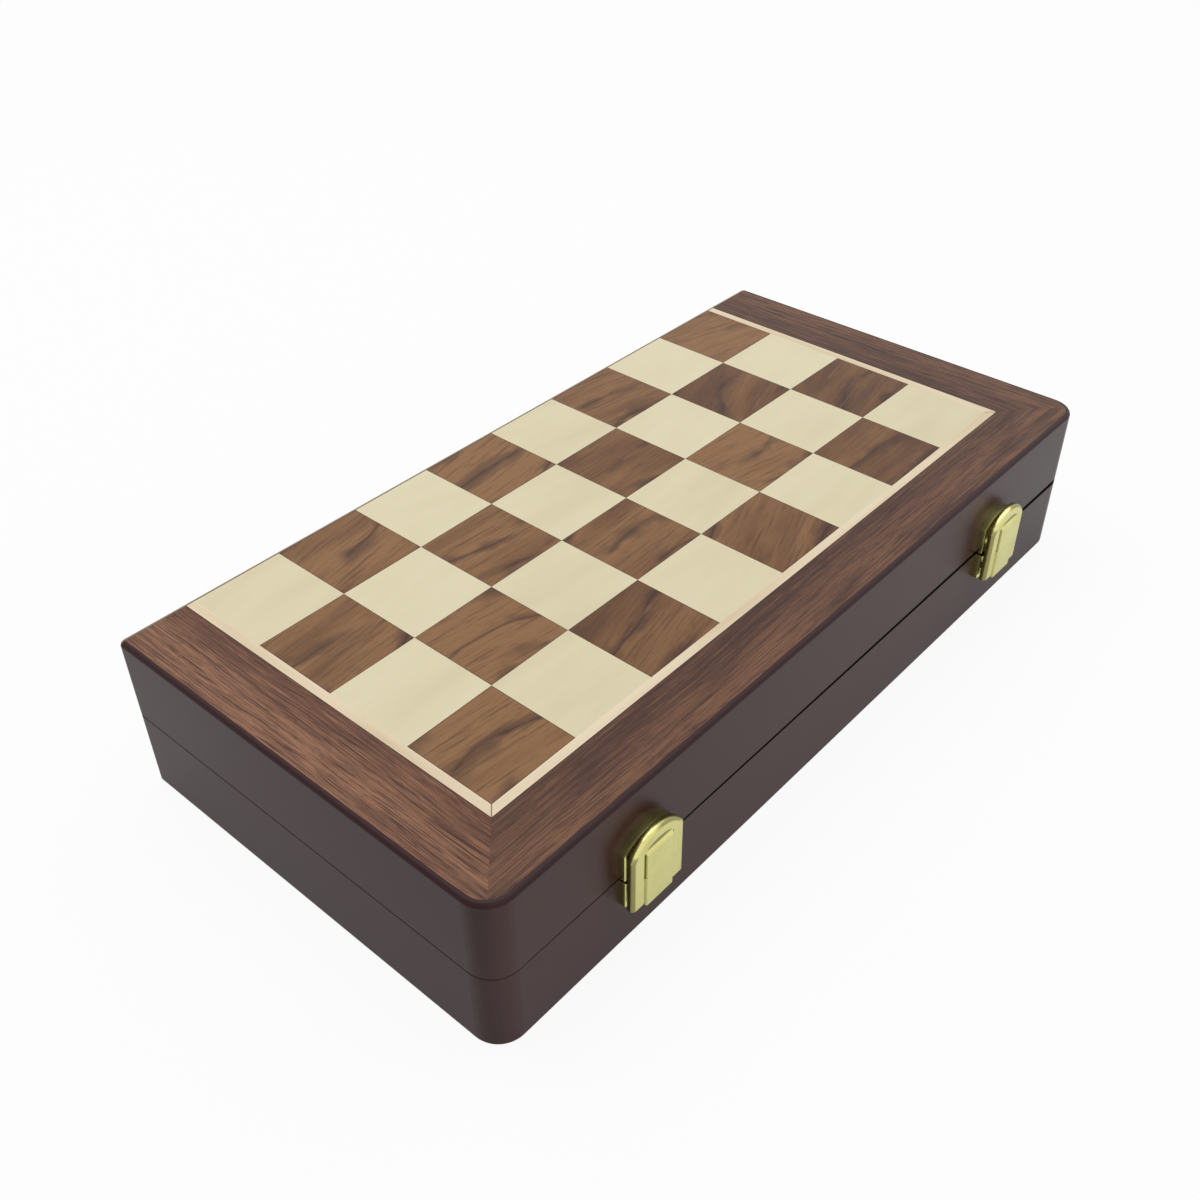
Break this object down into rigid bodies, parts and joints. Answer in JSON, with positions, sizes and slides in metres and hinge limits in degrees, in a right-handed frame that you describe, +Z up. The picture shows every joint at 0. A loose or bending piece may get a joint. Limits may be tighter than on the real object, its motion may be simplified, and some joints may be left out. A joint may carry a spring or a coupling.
{
  "type": "folding chess board",
  "caption": "Folding wooden chess board case: two hinged halves with an inlaid playing field outside and lined bays inside, held shut by brass latches.",
  "frame": {"origin": "on the floor, at the middle of the closed case's outline with its latches and hinge knuckles", "axes": "+X along the case, -Y towards the latches, +Y towards the hinges, +Z up"},
  "size_m": [0.3, 0.1577, 0.0566],
  "materials": {
    "lacquered_wood": "dark red-brown lacquer, semi-gloss",
    "plywood": "raw",
    "maple": "satin lacquer",
    "walnut": "satin lacquer",
    "rosewood": "satin lacquer",
    "divider_wood": "stained",
    "felt": "short pile",
    "gilt_brass": "bright plated",
    "brass": "polished",
    "steel": "bright"
  },
  "bodies": {
    "base": {"base_front_wall": "lacquered_wood", "base_back_wall": "lacquered_wood", "base_left_wall": "lacquered_wood", "base_right_wall": "lacquered_wood", "base_panel": "plywood", "base_light_squares": "maple", "base_dark_squares": "walnut", "base_left_stringing": "maple", "base_left_border": "rosewood", "base_right_stringing": "maple", "base_right_border": "rosewood", "base_front_stringing": "maple", "base_front_border": "rosewood", "base_lining": "felt", "base_long_divider": "divider_wood", "base_bay_dividers": "divider_wood", "base_left_hinge_leaf": "brass", "base_right_hinge_leaf": "brass", "base_hinge_screws": "brass", "left_hinge_pin": "brass", "left_latch_plate": "gilt_brass", "left_latch_pin": "steel", "left_latch_spring": "steel", "right_hinge_pin": "brass", "right_latch_plate": "gilt_brass", "right_latch_pin": "steel", "right_latch_spring": "steel", "latch_plate_screws": "brass"},
    "lid": {"lid_front_wall": "lacquered_wood", "lid_back_wall": "lacquered_wood", "lid_left_wall": "lacquered_wood", "lid_right_wall": "lacquered_wood", "lid_panel": "plywood", "lid_light_squares": "maple", "lid_dark_squares": "walnut", "lid_left_stringing": "maple", "lid_left_border": "rosewood", "lid_right_stringing": "maple", "lid_right_border": "rosewood", "lid_front_stringing": "maple", "lid_front_border": "rosewood", "lid_lining": "felt", "lid_long_divider": "divider_wood", "lid_bay_dividers": "divider_wood", "lid_left_hinge_leaf": "brass", "lid_right_hinge_leaf": "brass", "lid_hinge_screws": "brass", "left_strike_plate": "gilt_brass", "right_strike_plate": "gilt_brass", "strike_plate_screws": "brass"},
    "left_latch": {"left_latch_lever": "gilt_brass"},
    "right_latch": {"right_latch_lever": "gilt_brass"}
  },
  "joints": [
    {"name": "lid_hinge", "type": "hinge", "parent": "base", "child": "lid", "pos_m": [0, 0.07715, 0.0283], "axis": [-1, 0, 0], "range_deg": [0, 180]},
    {"name": "left_latch_hinge", "type": "hinge", "parent": "base", "child": "left_latch", "pos_m": [-0.094, -0.076, 0.0194], "axis": [1, 0, 0], "range_deg": [0, 90], "stiffness_Nm_per_rad": 0.004, "springref_deg": -20.05},
    {"name": "right_latch_hinge", "type": "hinge", "parent": "base", "child": "right_latch", "pos_m": [0.094, -0.076, 0.0194], "axis": [1, 0, 0], "range_deg": [0, 90], "stiffness_Nm_per_rad": 0.004, "springref_deg": -20.05}
  ]
}
